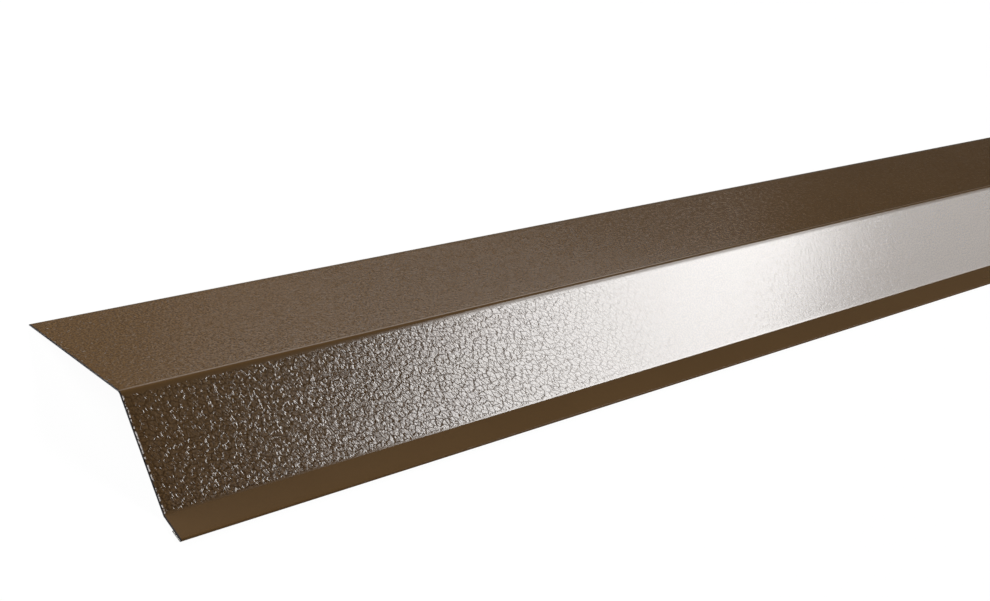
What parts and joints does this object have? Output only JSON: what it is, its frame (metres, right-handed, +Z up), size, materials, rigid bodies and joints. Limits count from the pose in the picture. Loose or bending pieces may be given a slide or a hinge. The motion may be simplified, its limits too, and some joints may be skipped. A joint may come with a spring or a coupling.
{
  "type": "drip edge flashing",
  "caption": "Length of bent sheet-metal drip edge flashing: deck flange, sloped face, outward drip kick and folded-under hem, in brown leather-grain coated steel.",
  "frame": {"origin": "on the floor, at the middle of the stock's bounding box as it lies on its flange edge and its hem", "axes": "+X along the stock, -Y the side the face looks to, +Y towards the flange's free edge, +Z up"},
  "size_m": [2, 0.1684, 0.0331],
  "materials": {
    "coated_steel": "satin brown plastic coating embossed with a fine leather grain"
  },
  "bodies": {
    "root": {"flashing_sheet": "coated_steel"}
  },
  "joints": []
}
